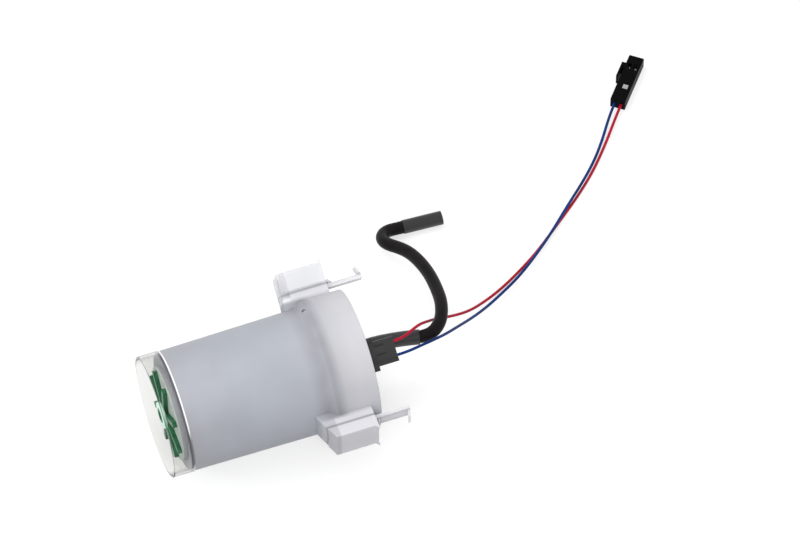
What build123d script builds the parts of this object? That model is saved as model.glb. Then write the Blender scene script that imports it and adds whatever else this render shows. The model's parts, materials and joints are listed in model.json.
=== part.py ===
from build123d import *
from math import asin, cos, degrees, radians, sin, tan
import os

# In-tank fuel pump in its swirl pot, lying on its side as it rests on a bench.
# +Z is up and the floor is z = 0. Heights h run along the pot's axis from the skirt rim.
# Angles round the pot are counted from straight down, towards the front (-Y).

# Cuts run past the faces that they open by this much
overshoot = 1.0

# Pot
skirt_radius = 40.0
skirt_wall = 1.6
skirt_height = 14.0
floor_height = 12.0
floor_thickness = 2.2
spigot_gap = 0.2
pot_foot_radius = 39.5
pot_neck_radius = 40.5
pot_wall = 2.0
neck_height = 104.0
flare_height = 4.0
ring_step = 3.5
ring_radius = pot_neck_radius + ring_step
ring_top = 137.0
ledge_height = 110.0
edge_round = 0.5
foot_round = 1.6
neck_round = 5.0
ring_round = 2.2
vent_diameter = 3.0
vent_height = 107.8
vent_angle = 205.0

# Bracket pockets and snap hooks on the ring
front_angle = 85.0
front_reach = 58.5
front_foot = 102.0
front_slant = 6.0
rear_angle = 244.0
rear_reach = 63.7
rear_foot = 100.5
rear_slant = 1.0
pocket_half_width = 11.2
pocket_wall = 1.6
pocket_step = 1.2
pocket_step_radius = 51.0
pocket_top = 130.0
shelf_gap = 3.2
hook_width = 8.0
hook_thickness = 2.6
hook_top = 154.0
hook_barb = 5.5
hook_lip = 1.6
catch_height = 132.0
catch_reach = 3.2
catch_length = 2.4
lug_length = 2.2
lug_rise = 2.4

# Inlet at the bottom: strainer, star and first-fill valve
seat_ring_radius = 31.0
seat_ring_wall = 2.0
seat_ring_height = 2.6
strainer_thickness = 0.8
star_arms = 8
star_angle = 6.0
star_arm_width = 3.8
star_arm_height = 2.8
star_hub_radius = 4.6
star_hub_bore = 3.3
star_hub_rise = 2.4
port_count = 6
port_diameter = 6.0
port_circle = 9.5
valve_radius = 14.0
valve_thickness = 1.6
valve_stem_radius = 2.0
valve_stem_gap = 0.06
valve_head_radius = 2.9
valve_head_height = 1.2
valve_rest_gap = 0.05

# Pump
pump_radius = 19.0
pump_foot = 36.0
pump_top = 106.0
shell_wall = 0.8
cover_gap = 0.2
cover_lip = 3.0
inlet_cover_depth = 4.0
inlet_offset = 10.0
neck_radius = 5.0
neck_wall = 1.5
neck_length = 5.0
transfer_port = 3.0
sock_foot = 20.0
sock_height = 7.0
sock_half_length = 22.0
sock_half_width = 15.0
sock_gap = 0.15
sock_collar_wall = 1.2
sock_collar_gap = 0.5
impeller_radius = 15.5
impeller_thickness = 3.6
impeller_gap = 0.3
impeller_vanes = 24
vane_depth = 3.0
vane_gap_width = 2.4
channel_plate_height = 10.0
outlet_cover_depth = 8.0
shaft_radius = 2.0
shaft_gap = 0.03
bearing_radius = 4.0
bearing_length = 4.5
bearing_gap = 0.05
armature_radius = 13.2
armature_foot = 58.0
armature_length = 27.0
armature_slots = 8
slot_depth = 7.0
slot_width = 4.6
slot_mouth = 1.6
winding_gap = 0.15
winding_overhang = 4.5
winding_inset = 1.5
winding_bore_gap = 1.2
magnet_gap = 0.3
magnet_thickness = 3.9
magnet_arc = 140.0
commutator_radius = 6.0
commutator_length = 7.0
commutator_gap = 0.5
commutator_slit = 0.5
brush_section = 4.0
brush_length = 6.0
brush_gap = 0.1
guide_wall = 1.5
guide_inset = 0.3
spring_wire = 0.5

# Outlet, valves and terminals
nozzle_radius = 2.85
nozzle_bore = 1.8
nozzle_top = 128.0
nozzle_down = 8.2
nozzle_back = 10.9
port_depth = 3.0
chamber_depth = 6.0
check_port = 1.3
check_chamber = 3.0
check_head = 2.5
check_head_height = 1.6
relief_port = 1.1
relief_chamber = 2.5
relief_ball_radius = 1.9
seat_gap = 0.04
relief_angle = 30.0
relief_circle = 12.5
socket_width = 14.0
socket_depth = 8.0
socket_wall = 1.2
socket_floor = 118.0
socket_top = 140.0
blade_width = 2.8
blade_thickness = 0.8
blade_pitch = 5.5
blade_top = 134.0

# Carrier that hangs the pump in the pot
carrier_gap = 0.3
carrier_rim_width = 2.6
carrier_rim_height = 3.5
carrier_spokes = 4
spoke_width = 6.0
collar_wall = 2.0
collar_foot = 92.0
collar_lip = 3.0
isolator_gap = 0.3
isolator_wall = 3.0
isolator_length = 9.0
cage_foot = 42.0
cage_ring_height = 7.0
cage_legs = 3
leg_width = 8.0

# Plug on the pump's socket, seen in the mouth
plug_angle = 54.0
plug_drop = 2.2
plug_flange_width = 22.0
plug_flange_depth = 12.0
plug_flange_gap = 3.0
plug_flange_height = 3.6
plug_width = 16.4
plug_depth = 10.0
plug_body_length = 13.4
plug_overlap = 9.0
plug_lip_gap = 0.3
plug_skirt_wall = 1.3
plug_round = 0.8
tongue_width = 5.0
tongue_length = 6.5
tongue_rise = 1.1
tongue_taper = 3.0
groove_width = 0.9
groove_depth = 0.8
rail_width = 2.2
rail_rise = 0.9
recess_width = 3.6
recess_depth = 1.2
wire_pitch = 9.0
wire_seat = 3.0

# Cords
hose_diameter = 8.4
hose_bore = 6.0
hose_foot = 112.0
sleeve_gap = 0.15
outlet_sleeve_wall = 0.6
end_sleeve_wall = 0.3
end_sleeve_length = 26.0
clamp_foot = 118.0
clamp_height = 7.0
clamp_wall = 0.8
wire_diameter = 1.9
wire_gap = 0.3

# Far connector, lying flat on the floor
connector_x = 297.9
connector_y = 168.0
connector_turn = 51.0
connector_length = 40.0
connector_width = 10.2
connector_height = 8.0
connector_wall = 1.2
latch_width = 1.4
window_x = 31.0
window_length = 4.5
window_width = 2.4
lock_x = 13.0
lock_y = -1.0
lock_size = 3.6
lock_gap = 0.05
cavity_width = 3.4
cavity_pitch = 4.4
cavity_depth = 12.0
terminal_width = 2.2
terminal_wall = 0.4
terminal_setback = 1.5

# Where the pot lies: its skirt rim and the foot of its ring touch the floor.
pot_x = -79.0
pot_y = -1.3
ring_foot = neck_height + flare_height
lean = degrees(asin((ring_radius - skirt_radius) / ring_foot))
lying = Plane(
    origin=(pot_x, pot_y, skirt_radius * cos(radians(lean))),
    x_dir=(sin(radians(lean)), 0, -cos(radians(lean))),
    z_dir=(cos(radians(lean)), 0, sin(radians(lean))),
)
pot_axis = Axis(lying.origin, lying.z_dir)


def facing(angle):
    """Plane square to the axis, with its X pointing out of the pot at an angle."""
    outward = lying.x_dir * cos(radians(angle)) - lying.y_dir * sin(radians(angle))
    return Plane(origin=lying.origin, x_dir=outward, z_dir=lying.z_dir)


def lengthwise(angle):
    """Plane through the axis, with X pointing out of the pot and Y along the axis."""
    turned = facing(angle)
    return Plane(origin=turned.origin, x_dir=turned.x_dir, z_dir=-turned.y_dir)


def spot(down, back, height):
    """Point in the pot, from its offsets below and behind the axis."""
    return lying.from_local_coords(Vector(down, back, height))


section = lengthwise(0)
os.makedirs("parts", exist_ok=True)

# Clear skirt
with BuildPart() as base_skirt:
    with BuildSketch(lying):
        Circle(skirt_radius)
        Circle(skirt_radius - skirt_wall, mode=Mode.SUBTRACT)
    extrude(amount=skirt_height)
    fillet(base_skirt.edges().group_by(pot_axis)[0], skirt_wall * 0.3)

# Pot body, ring, pockets and hooks are one moulding
spigot_radius = skirt_radius - skirt_wall - spigot_gap
floor_top = floor_height + floor_thickness
inner_foot_radius = pot_foot_radius - pot_wall
inner_neck_radius = pot_neck_radius - pot_wall
inner_ring_radius = ring_radius - pot_wall
stem_bore = valve_stem_radius + valve_stem_gap
pocket_shelf = ring_radius + shelf_gap
hook_face = pocket_shelf + hook_thickness
brackets = (
    (front_angle, front_reach, front_foot, front_slant),
    (rear_angle, rear_reach, rear_foot, rear_slant),
)
with BuildPart() as reservoir_cup:
    with BuildSketch(section):
        with BuildLine():
            Polyline((0, ring_top), (0, floor_height), (spigot_radius, floor_height), (spigot_radius, skirt_height))
            FilletPolyline(
                (spigot_radius, skirt_height),
                (pot_foot_radius, skirt_height),
                (pot_neck_radius, neck_height),
                (ring_radius, ring_foot),
                (ring_radius, ring_top),
                (0, ring_top),
                radius=[edge_round, neck_round, ring_round, edge_round],
            )
        make_face()
    revolve(axis=pot_axis)
    for bracket_angle, reach, foot, slant in brackets:
        side_view = lengthwise(bracket_angle)
        for inner, outer, half_width in (
            (inner_foot_radius, pocket_step_radius, pocket_half_width - pocket_step),
            (pocket_step_radius, reach, pocket_half_width),
        ):
            with BuildSketch(side_view):
                with BuildLine():
                    Polyline(
                        (inner, foot - slant * (reach - inner) / (reach - ring_radius)),
                        (outer, foot - slant * (reach - outer) / (reach - ring_radius)),
                        (outer, pocket_top),
                        (inner, pocket_top),
                        close=True,
                    )
                make_face()
            extrude(amount=half_width, both=True)
        for inner, outer, low, half_width in (
            (ring_radius, pocket_shelf, ring_foot, pocket_half_width - pocket_step - pocket_wall),
            (hook_face, pocket_step_radius, foot + pocket_wall, pocket_half_width - pocket_step - pocket_wall),
            (pocket_step_radius, reach - pocket_wall, foot + pocket_wall, pocket_half_width - pocket_wall),
        ):
            with BuildSketch(side_view):
                with BuildLine():
                    Polyline(
                        (inner, low),
                        (outer, low),
                        (outer, pocket_top + overshoot),
                        (inner, pocket_top + overshoot),
                        close=True,
                    )
                make_face()
            extrude(amount=half_width, both=True, mode=Mode.SUBTRACT)
        with BuildSketch(side_view):
            with BuildLine():
                Polyline(
                    (pocket_shelf, foot + pocket_wall),
                    (hook_face, foot + pocket_wall),
                    (hook_face, catch_height),
                    (hook_face + catch_reach, catch_height),
                    (hook_face, catch_height + catch_length),
                    (hook_face, hook_top - hook_lip),
                    (hook_face + hook_barb, hook_top - 2 * hook_lip),
                    (hook_face + hook_barb, hook_top - hook_lip),
                    (hook_face, hook_top),
                    (pocket_shelf, hook_top),
                    close=True,
                )
            make_face()
        extrude(amount=hook_width / 2, both=True)
        for flank in (-1, 1):
            with BuildSketch(side_view.offset(flank * (pocket_half_width - pocket_wall / 2))):
                with BuildLine():
                    Polyline(
                        (reach - pocket_wall, pocket_top),
                        (reach - pocket_wall, pocket_top - lug_length),
                        (reach, pocket_top - lug_length),
                        (reach + lug_rise, pocket_top),
                        close=True,
                    )
                make_face()
            extrude(amount=pocket_wall / 2, both=True)
    with BuildSketch(section):
        with BuildLine():
            FilletPolyline(
                (0, floor_top),
                (inner_foot_radius, floor_top),
                (inner_neck_radius, neck_height),
                (inner_neck_radius, ledge_height),
                radius=[foot_round, neck_round],
            )
            Polyline(
                (inner_neck_radius, ledge_height),
                (inner_ring_radius, ledge_height),
                (inner_ring_radius, ring_top + overshoot),
                (0, ring_top + overshoot),
                (0, floor_top),
            )
        make_face()
    revolve(axis=pot_axis, mode=Mode.SUBTRACT)
    with BuildSketch(lying.offset(floor_height)):
        Circle(seat_ring_radius)
        Circle(seat_ring_radius - seat_ring_wall, mode=Mode.SUBTRACT)
    extrude(amount=-seat_ring_height)
    with BuildSketch(lying.offset(floor_height)):
        Circle(stem_bore)
        with PolarLocations(port_circle, port_count):
            Circle(port_diameter / 2)
    extrude(amount=floor_thickness, mode=Mode.SUBTRACT)
    vent_side = facing(vent_angle).offset(vent_height)
    with BuildSketch(Plane(origin=vent_side.origin, x_dir=vent_side.z_dir, z_dir=vent_side.x_dir)):
        Circle(vent_diameter / 2)
    extrude(amount=ring_radius + overshoot, mode=Mode.SUBTRACT)

# Fine strainer disc on the seat ring under the pot's floor
strainer_top = floor_height - seat_ring_height
strainer_foot = strainer_top - strainer_thickness
with BuildPart() as strainer_disc:
    with BuildSketch(lying.offset(strainer_foot)):
        Circle(seat_ring_radius)
        Circle(star_hub_bore, mode=Mode.SUBTRACT)
    extrude(amount=strainer_thickness)

# Green star that clamps the strainer, with a hub round the valve stem
star_foot = strainer_foot - star_arm_height
star_reach = seat_ring_radius - seat_ring_wall
with BuildPart() as star_retainer:
    with BuildSketch(lying.offset(star_foot)):
        Circle(star_hub_radius)
        with PolarLocations(star_reach / 2, star_arms, start_angle=star_angle):
            Rectangle(star_reach, star_arm_width)
        Circle(star_hub_bore, mode=Mode.SUBTRACT)
    extrude(amount=star_arm_height)
    with BuildSketch(lying.offset(star_foot - star_hub_rise)):
        Circle(star_hub_radius)
        Circle(star_hub_bore, mode=Mode.SUBTRACT)
    extrude(amount=star_hub_rise)

# First-fill valve: a disc inside the floor, with its stem through the floor and the hub
stem_foot = strainer_foot - star_arm_height - star_hub_rise + valve_head_height
with BuildPart() as fill_valve:
    with BuildSketch(section):
        with BuildLine():
            Polyline(
                (0, stem_foot),
                (valve_head_radius, stem_foot),
                (valve_head_radius, stem_foot + valve_head_height),
                (valve_stem_radius, stem_foot + valve_head_height),
                (valve_stem_radius, floor_top + valve_rest_gap),
                (valve_radius, floor_top + valve_rest_gap),
                (valve_radius - 1, floor_top + valve_thickness),
                (valve_stem_radius + 1, floor_top + valve_thickness + 1),
                (0, floor_top + valve_thickness + 1),
                close=True,
            )
        make_face()
    revolve(axis=pot_axis)

# Carrier: rim on the ledge, spokes, collar and a cage of legs down to a lower ring
collar_radius = pump_radius + isolator_gap + isolator_wall + isolator_gap
cage_bore = pump_radius + isolator_gap
carrier_rim_radius = inner_ring_radius - carrier_gap
isolator_foot = collar_foot + collar_lip
with BuildPart() as pump_carrier:
    with BuildSketch(lying.offset(ledge_height)):
        Circle(carrier_rim_radius)
        Circle(carrier_rim_radius - carrier_rim_width - pot_wall, mode=Mode.SUBTRACT)
    extrude(amount=carrier_rim_height)
    with BuildSketch(lying.offset(ledge_height)):
        with PolarLocations(
            (collar_radius + carrier_rim_radius) / 2, carrier_spokes, start_angle=45
        ):
            Rectangle(carrier_rim_radius - collar_radius - 1, spoke_width)
    extrude(amount=carrier_rim_height)
    with BuildSketch(lying.offset(collar_foot)):
        Circle(collar_radius + collar_wall)
        Circle(collar_radius, mode=Mode.SUBTRACT)
    extrude(amount=ledge_height + carrier_rim_height - collar_foot)
    with BuildSketch(lying.offset(collar_foot)):
        Circle(collar_radius + collar_wall)
        Circle(cage_bore, mode=Mode.SUBTRACT)
    extrude(amount=isolator_foot - collar_foot)
    with BuildSketch(lying.offset(cage_foot)):
        with PolarLocations((cage_bore + collar_radius + collar_wall) / 2, cage_legs):
            Rectangle(collar_radius + collar_wall - cage_bore - 1.2, leg_width)
    extrude(amount=collar_foot - cage_foot)
    with BuildSketch(lying.offset(cage_foot)):
        Circle(collar_radius + collar_wall)
        Circle(cage_bore, mode=Mode.SUBTRACT)
    extrude(amount=cage_ring_height)

# Rubber isolator between the pump and the collar
with BuildPart() as isolator_ring:
    with BuildSketch(lying.offset(isolator_foot)):
        Circle(collar_radius - isolator_gap)
        Circle(pump_radius + isolator_gap, mode=Mode.SUBTRACT)
    extrude(amount=isolator_length)

# Pump shell
with BuildPart() as pump_shell:
    with BuildSketch(lying.offset(pump_foot)):
        Circle(pump_radius)
        Circle(pump_radius - shell_wall, mode=Mode.SUBTRACT)
    extrude(amount=pump_top - pump_foot)

# Inlet cover with the inlet neck
cover_radius = pump_radius - shell_wall - cover_gap
impeller_foot = pump_foot + inlet_cover_depth + impeller_gap
chamber_top = impeller_foot + impeller_thickness + impeller_gap
with BuildPart() as inlet_cover:
    with BuildSketch(lying.offset(pump_foot - cover_lip)):
        Circle(pump_radius)
    extrude(amount=cover_lip)
    with BuildSketch(lying.offset(pump_foot)):
        Circle(cover_radius)
    extrude(amount=inlet_cover_depth)
    with BuildSketch(lying.offset(pump_foot - cover_lip - neck_length)):
        with Locations((inlet_offset, 0)):
            Circle(neck_radius)
    extrude(amount=neck_length)
    with BuildSketch(lying.offset(pump_foot - cover_lip - neck_length)):
        with Locations((inlet_offset, 0)):
            Circle(neck_radius - neck_wall)
    extrude(amount=neck_length + cover_lip + inlet_cover_depth, mode=Mode.SUBTRACT)

# Channel plate: chamber ring and lower bearing seat
plate_foot = pump_foot + inlet_cover_depth
plate_top = plate_foot + channel_plate_height
with BuildPart() as channel_plate:
    with BuildSketch(lying.offset(plate_foot)):
        Circle(cover_radius)
        Circle(impeller_radius + impeller_gap, mode=Mode.SUBTRACT)
    extrude(amount=chamber_top - plate_foot)
    with BuildSketch(lying.offset(chamber_top)):
        Circle(cover_radius)
        Circle(bearing_radius + bearing_gap, mode=Mode.SUBTRACT)
        with Locations((-inlet_offset, 0)):
            Circle(transfer_port, mode=Mode.SUBTRACT)
    extrude(amount=plate_top - chamber_top)

# Impeller with pockets round its edge
shaft_foot = impeller_foot
with BuildPart() as impeller:
    with BuildSketch(lying.offset(impeller_foot)):
        Circle(impeller_radius)
        Circle(shaft_radius, mode=Mode.SUBTRACT)
        with PolarLocations(impeller_radius, impeller_vanes):
            Rectangle(vane_depth, vane_gap_width, mode=Mode.SUBTRACT)
    extrude(amount=impeller_thickness)

# Bearings
lower_bearing_foot = plate_top - bearing_length
cover_foot = pump_top - outlet_cover_depth
upper_bearing_foot = cover_foot
with BuildPart() as bearing_lower:
    with BuildSketch(lying.offset(lower_bearing_foot)):
        Circle(bearing_radius)
        Circle(shaft_radius + shaft_gap, mode=Mode.SUBTRACT)
    extrude(amount=bearing_length)
with BuildPart() as bearing_upper:
    with BuildSketch(lying.offset(upper_bearing_foot)):
        Circle(bearing_radius)
        Circle(shaft_radius + shaft_gap, mode=Mode.SUBTRACT)
    extrude(amount=bearing_length)

# Rotor
shaft_top = upper_bearing_foot + bearing_length
armature_top = armature_foot + armature_length
winding_foot = armature_foot - winding_overhang
winding_top = armature_top + winding_overhang
commutator_foot = winding_top + commutator_gap
slot_middle = armature_radius - slot_depth / 2
with BuildPart() as rotor_shaft:
    with BuildSketch(lying.offset(shaft_foot)):
        Circle(shaft_radius)
    extrude(amount=shaft_top - shaft_foot)
with BuildPart() as armature_core:
    with BuildSketch(lying.offset(armature_foot)):
        Circle(armature_radius)
        Circle(shaft_radius, mode=Mode.SUBTRACT)
        with PolarLocations(slot_middle - 1, armature_slots):
            Rectangle(slot_depth - 2, slot_width, mode=Mode.SUBTRACT)
        with PolarLocations(armature_radius, armature_slots):
            Rectangle(2 * slot_depth, slot_mouth, mode=Mode.SUBTRACT)
    extrude(amount=armature_length)
with BuildPart() as windings:
    with BuildSketch(lying.offset(armature_foot)):
        with PolarLocations(slot_middle - 1, armature_slots):
            Rectangle(slot_depth - 2 - 2 * winding_gap, slot_width - 2 * winding_gap)
    extrude(amount=armature_length)
    for end_foot in (winding_foot, armature_top):
        with BuildSketch(lying.offset(end_foot)):
            Circle(armature_radius - winding_inset)
            Circle(shaft_radius + winding_bore_gap, mode=Mode.SUBTRACT)
        extrude(amount=winding_overhang)
with BuildPart() as commutator:
    with BuildSketch(lying.offset(commutator_foot)):
        Circle(commutator_radius)
        Circle(shaft_radius, mode=Mode.SUBTRACT)
        with PolarLocations(commutator_radius, armature_slots):
            Rectangle(shaft_radius, commutator_slit, mode=Mode.SUBTRACT)
    extrude(amount=commutator_length)

# Magnets: two arcs inside the shell
magnet_outer = pump_radius - shell_wall - magnet_gap
magnet_inner = magnet_outer - magnet_thickness
magnet_halves = {}
for name, middle in (("magnet_left", 0), ("magnet_right", 180)):
    with BuildPart() as magnet:
        with BuildSketch(lying.offset(armature_foot - 2)):
            with BuildLine():
                CenterArc((0, 0), magnet_outer, middle - magnet_arc / 2, magnet_arc)
                CenterArc((0, 0), magnet_inner, middle - magnet_arc / 2, magnet_arc)
                for side in (-1, 1):
                    Line(
                        PolarLine((0, 0), magnet_inner, middle + side * magnet_arc / 2, mode=Mode.PRIVATE) @ 1,
                        PolarLine((0, 0), magnet_outer, middle + side * magnet_arc / 2, mode=Mode.PRIVATE) @ 1,
                    )
            make_face()
        extrude(amount=armature_length + 4)
    magnet_halves[name] = magnet.part

# Brushes and their springs lie square to the axis, one each side of the commutator
brush_height = commutator_foot + commutator_length / 2
brushes = {}
for name, side in (("brush_left", 1), ("brush_right", -1)):
    with BuildPart() as brush:
        with BuildSketch(lying.offset(brush_height - brush_section / 2)):
            with Locations((side * (commutator_radius + brush_gap + brush_length / 2), 0)):
                Rectangle(brush_length, brush_section)
        extrude(amount=brush_section)
    brushes[name] = brush.part

# Outlet cover: nozzle, socket, brush guides, relief seat and upper bearing seat
guide_foot = brush_height - brush_section / 2 - guide_wall
guide_start = commutator_radius + guide_wall
guide_reach = cover_radius - guide_inset
nozzle_seat = pump_top + cover_lip
valve_seat = cover_foot + port_depth
relief_down = relief_circle * cos(radians(relief_angle))
relief_back = -relief_circle * sin(radians(relief_angle))
plug_down = plug_drop * cos(radians(plug_angle))
plug_back = -plug_drop * sin(radians(plug_angle))
with BuildPart() as outlet_cover:
    with BuildSketch(lying.offset(cover_foot)):
        Circle(cover_radius)
        Circle(bearing_radius + bearing_gap, mode=Mode.SUBTRACT)
    extrude(amount=bearing_length)
    with BuildSketch(lying.offset(cover_foot + bearing_length)):
        Circle(cover_radius)
    extrude(amount=outlet_cover_depth - bearing_length)
    with BuildSketch(lying.offset(pump_top)):
        Circle(pump_radius)
    extrude(amount=cover_lip)
    with BuildSketch(lying.offset(guide_foot)):
        for side in (-1, 1):
            with Locations((side * (guide_start + guide_reach) / 2, 0)):
                Rectangle(guide_reach - guide_start, brush_section + 2 * guide_wall)
    extrude(amount=cover_foot - guide_foot)
    with BuildSketch(lying.offset(brush_height - brush_section / 2 - brush_gap)):
        Rectangle(2 * guide_reach + guide_wall, brush_section + 2 * brush_gap)
    extrude(amount=brush_section + 2 * brush_gap, mode=Mode.SUBTRACT)
    with BuildSketch(lying.offset(nozzle_seat)):
        with Locations((nozzle_down, nozzle_back)):
            Circle(nozzle_radius)
    extrude(amount=nozzle_top - nozzle_seat)
    with BuildSketch(lying.offset(cover_foot)):
        with Locations((nozzle_down, nozzle_back)):
            Circle(check_port)
        with Locations((relief_down, relief_back)):
            Circle(relief_port)
    extrude(amount=port_depth, mode=Mode.SUBTRACT)
    with BuildSketch(lying.offset(valve_seat)):
        with Locations((nozzle_down, nozzle_back)):
            Circle(check_chamber)
        with Locations((relief_down, relief_back)):
            Circle(relief_chamber)
    extrude(amount=chamber_depth, mode=Mode.SUBTRACT)
    with BuildSketch(lying.offset(valve_seat)):
        with Locations((nozzle_down, nozzle_back)):
            Circle(nozzle_bore)
    extrude(amount=nozzle_top - valve_seat, mode=Mode.SUBTRACT)
    with BuildSketch(lying.offset(valve_seat)):
        with Locations((relief_down, relief_back)):
            Circle(relief_port)
    extrude(amount=nozzle_seat - valve_seat, mode=Mode.SUBTRACT)
    with BuildSketch(lying.offset(nozzle_seat)):
        with Locations((plug_down, plug_back)):
            Rectangle(socket_width, socket_depth, rotation=-plug_angle)
    extrude(amount=socket_top - nozzle_seat)
    with BuildSketch(lying.offset(socket_floor)):
        with Locations((plug_down, plug_back)):
            Rectangle(
                socket_width - 2 * socket_wall, socket_depth - 2 * socket_wall, rotation=-plug_angle
            )
    extrude(amount=socket_top - socket_floor, mode=Mode.SUBTRACT)

# Terminal blades in the socket, reaching down to the brushes' side of the cover
with BuildPart() as pump_terminals:
    with BuildSketch(lying.offset(socket_floor)):
        with Locations(Location((plug_down, plug_back), -plug_angle)):
            with GridLocations(blade_pitch, 0, 2, 1):
                Rectangle(blade_width, blade_thickness)
    extrude(amount=blade_top - socket_floor)

# Check valve in the nozzle's foot, and relief ball beside it, each with its spring
with BuildPart() as check_valve:
    with BuildSketch(lying.offset(valve_seat + seat_gap)):
        with Locations((nozzle_down, nozzle_back)):
            Circle(check_head)
    extrude(amount=check_head_height)
relief_centre = spot(
    relief_down,
    relief_back,
    valve_seat + (relief_ball_radius**2 - relief_port**2) ** 0.5 + seat_gap,
)
with BuildPart() as relief_ball:
    with Locations(relief_centre):
        Sphere(relief_ball_radius)


def coil(start, direction, length, radius, turns):
    """Spring of round wire, from a point along a direction."""
    with BuildPart() as spring:
        with BuildLine():
            line = Helix(
                pitch=length / turns, height=length, radius=radius, center=start, direction=direction
            )
        with BuildSketch(Plane(origin=line @ 0, z_dir=line % 0)):
            Circle(spring_wire / 2)
        sweep(is_frenet=True)
    return spring.part


coil_end = spring_wire / 2 + 0.1
check_spring_foot = valve_seat + seat_gap + check_head_height + coil_end
relief_spring_foot = valve_seat + seat_gap + 2 * relief_ball_radius - 0.2
springs = {
    "check_spring": coil(
        spot(nozzle_down, nozzle_back, check_spring_foot),
        lying.z_dir,
        valve_seat + chamber_depth - coil_end - check_spring_foot,
        2.1,
        3,
    ),
    "relief_spring": coil(
        spot(relief_down, relief_back, relief_spring_foot),
        lying.z_dir,
        valve_seat + chamber_depth - coil_end - relief_spring_foot,
        1.6,
        2,
    ),
}
brush_end = commutator_radius + brush_gap + brush_length
for name, side in (("brush_spring_left", 1), ("brush_spring_right", -1)):
    springs[name] = coil(
        spot(side * (brush_end + coil_end), 0, brush_height),
        lying.x_dir * side,
        pump_radius - shell_wall - brush_end - 2 * coil_end,
        1.5,
        4,
    )

# Inlet sock round the inlet neck
with BuildPart() as inlet_sock:
    with BuildSketch(lying.offset(sock_foot)):
        with Locations((inlet_offset / 2, 0)):
            Ellipse(sock_half_length, sock_half_width)
    extrude(amount=sock_height)
    fillet(inlet_sock.edges().filter_by(GeomType.LINE, reverse=True), sock_height * 0.42)
    with BuildSketch(lying.offset(sock_foot + sock_height)):
        with Locations((inlet_offset, 0)):
            Circle(neck_radius + sock_gap + sock_collar_wall)
            Circle(neck_radius + sock_gap, mode=Mode.SUBTRACT)
    extrude(amount=pump_foot - cover_lip - sock_collar_gap - sock_foot - sock_height)

# Plug on the socket
plug_bottom = Location((plug_down, plug_back), -plug_angle)
plug_skirt_foot = socket_top - plug_overlap
plug_flange_foot = socket_top + plug_flange_gap
plug_shoulder = plug_flange_foot + plug_flange_height
plug_top = plug_shoulder + plug_body_length
plug_face = -plug_depth / 2
flange_face = -plug_flange_depth / 2
with BuildPart() as plug_housing:
    with BuildSketch(lying.offset(plug_skirt_foot)):
        with Locations(plug_bottom):
            Rectangle(
                socket_width + 2 * (plug_lip_gap + plug_skirt_wall),
                socket_depth + 2 * (plug_lip_gap + plug_skirt_wall),
            )
    extrude(amount=plug_flange_foot - plug_skirt_foot)
    with BuildSketch(lying.offset(plug_flange_foot)):
        with Locations(plug_bottom):
            RectangleRounded(plug_flange_width, plug_flange_depth, plug_round)
    extrude(amount=plug_flange_height)
    with BuildSketch(lying.offset(plug_shoulder)):
        with Locations(plug_bottom):
            RectangleRounded(plug_width, plug_depth, plug_round)
            with Locations((plug_width / 2 - rail_width / 2, plug_face)):
                Rectangle(rail_width, 2 * rail_rise)
    extrude(amount=plug_top - plug_shoulder)
    with BuildSketch(lying.offset(plug_shoulder)):
        with Locations(plug_bottom):
            with Locations((-plug_width / 8, plug_face)):
                Rectangle(tongue_width, 2 * tongue_rise)
    extrude(amount=tongue_length, taper=tongue_taper)
    with BuildSketch(lying.offset(plug_flange_foot)):
        with Locations(plug_bottom):
            with Locations((plug_flange_width / 5, flange_face)):
                Rectangle(recess_width, 2 * recess_depth)
            with Locations((-plug_flange_width * 0.36, flange_face)):
                Rectangle(recess_width / 2, 2 * recess_depth)
    extrude(amount=plug_flange_height, mode=Mode.SUBTRACT)
    with BuildSketch(lying.offset(plug_shoulder)):
        with Locations(plug_bottom):
            with GridLocations(tongue_width + groove_width, 0, 2, 1):
                with Locations((-plug_width / 8, plug_face)):
                    Rectangle(groove_width, 2 * groove_depth)
    extrude(amount=tongue_length, mode=Mode.SUBTRACT)
    with BuildSketch(lying.offset(plug_skirt_foot)):
        with Locations(plug_bottom):
            Rectangle(socket_width + 2 * plug_lip_gap, socket_depth + 2 * plug_lip_gap)
    extrude(amount=socket_top + plug_lip_gap - plug_skirt_foot, mode=Mode.SUBTRACT)
    with BuildSketch(lying.offset(socket_top)):
        with Locations(plug_bottom):
            with GridLocations(wire_pitch, 0, 2, 1):
                Circle(wire_diameter / 2 + wire_gap)
    extrude(amount=plug_top - socket_top, mode=Mode.SUBTRACT)

# Cords: the routes run in straight runs joined by arcs
hose_route = [
    tuple(spot(nozzle_down, nozzle_back, hose_foot)),
    (74.0, 9.6, 37.4),
    (90.0, 7.5, 37.7),
    (107.0, 3.3, 38.4),
    (117.3, 10.9, 38.6),
    (123.6, 26.2, 36.0),
    (125.9, 42.7, 31.0),
    (126.6, 59.2, 26.4),
    (124.9, 74.7, 22.0),
    (120.8, 89.2, 17.6),
    (109.6, 104.3, 11.3),
    (114.5, 116.9, 5.4),
    (128.5, 116.7, 4.75),
    (154.46, 115.21, 5.65),
]
plug_exit = plug_top - wire_seat
red_down = (plug_drop - wire_pitch / 2) * cos(radians(plug_angle))
red_back = -(plug_drop - wire_pitch / 2) * sin(radians(plug_angle))
blue_down = (plug_drop + wire_pitch / 2) * cos(radians(plug_angle))
blue_back = -(plug_drop + wire_pitch / 2) * sin(radians(plug_angle))
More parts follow.
